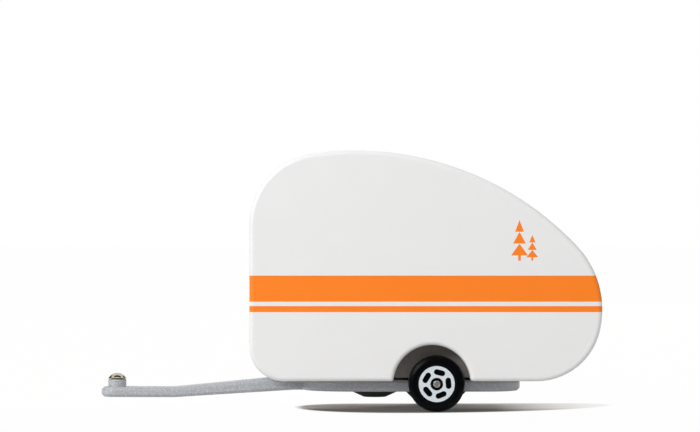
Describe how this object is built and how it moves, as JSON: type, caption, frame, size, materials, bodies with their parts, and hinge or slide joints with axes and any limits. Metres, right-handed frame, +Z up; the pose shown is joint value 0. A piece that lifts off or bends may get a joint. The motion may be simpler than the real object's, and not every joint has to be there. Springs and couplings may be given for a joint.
{
  "type": "toy teardrop trailer",
  "caption": "Small toy teardrop trailer: a painted wooden block on a cast metal chassis with a cranked tow bar, a domed hitch pin and free-turning wheels.",
  "frame": {"origin": "on the floor, on the centre plane, midway between the tow bar's tip and the tail", "axes": "+X from the hitch to the tail, +Y to the side away from the picture's camera, +Z up. The side shown in the picture faces -Y."},
  "size_m": [0.1146, 0.036, 0.0592],
  "materials": {
    "painted_wood": "satin white paint with orange stripes",
    "dark_filler": "matt dark grey",
    "cast_metal": "fine sparkling silver grey coat on cast metal",
    "axle_steel": "bright drawn wire",
    "black_moulding": "matt black moulding",
    "screw_steel": "zinc plated",
    "plated_pin": "polished nickel",
    "wheel_black": "gloss black moulding",
    "disc_silver": "pale silver"
  },
  "bodies": {
    "trailer": {"body_block": "painted_wood", "wheel_box": "dark_filler", "chassis_casting": "cast_metal", "axle": "axle_steel", "axle_saddle": "black_moulding", "cup_washer": "black_moulding", "body_screw": "screw_steel", "saddle_screw_front": "screw_steel", "saddle_screw_rear": "screw_steel", "hitch_pin": "plated_pin"},
    "wheel_left": {"wheel_left": "wheel_black", "wheel_disc_left": "disc_silver"},
    "wheel_right": {"wheel_right": "wheel_black", "wheel_disc_right": "disc_silver"}
  },
  "joints": [
    {"name": "wheel_left_spin", "type": "hinge", "parent": "trailer", "child": "wheel_left", "pos_m": [0.0198, 0.0152, 0.00637], "axis": [0, 1, 0], "continuous": true},
    {"name": "wheel_right_spin", "type": "hinge", "parent": "trailer", "child": "wheel_right", "pos_m": [0.0198, -0.0152, 0.00637], "axis": [0, 1, 0], "continuous": true}
  ]
}
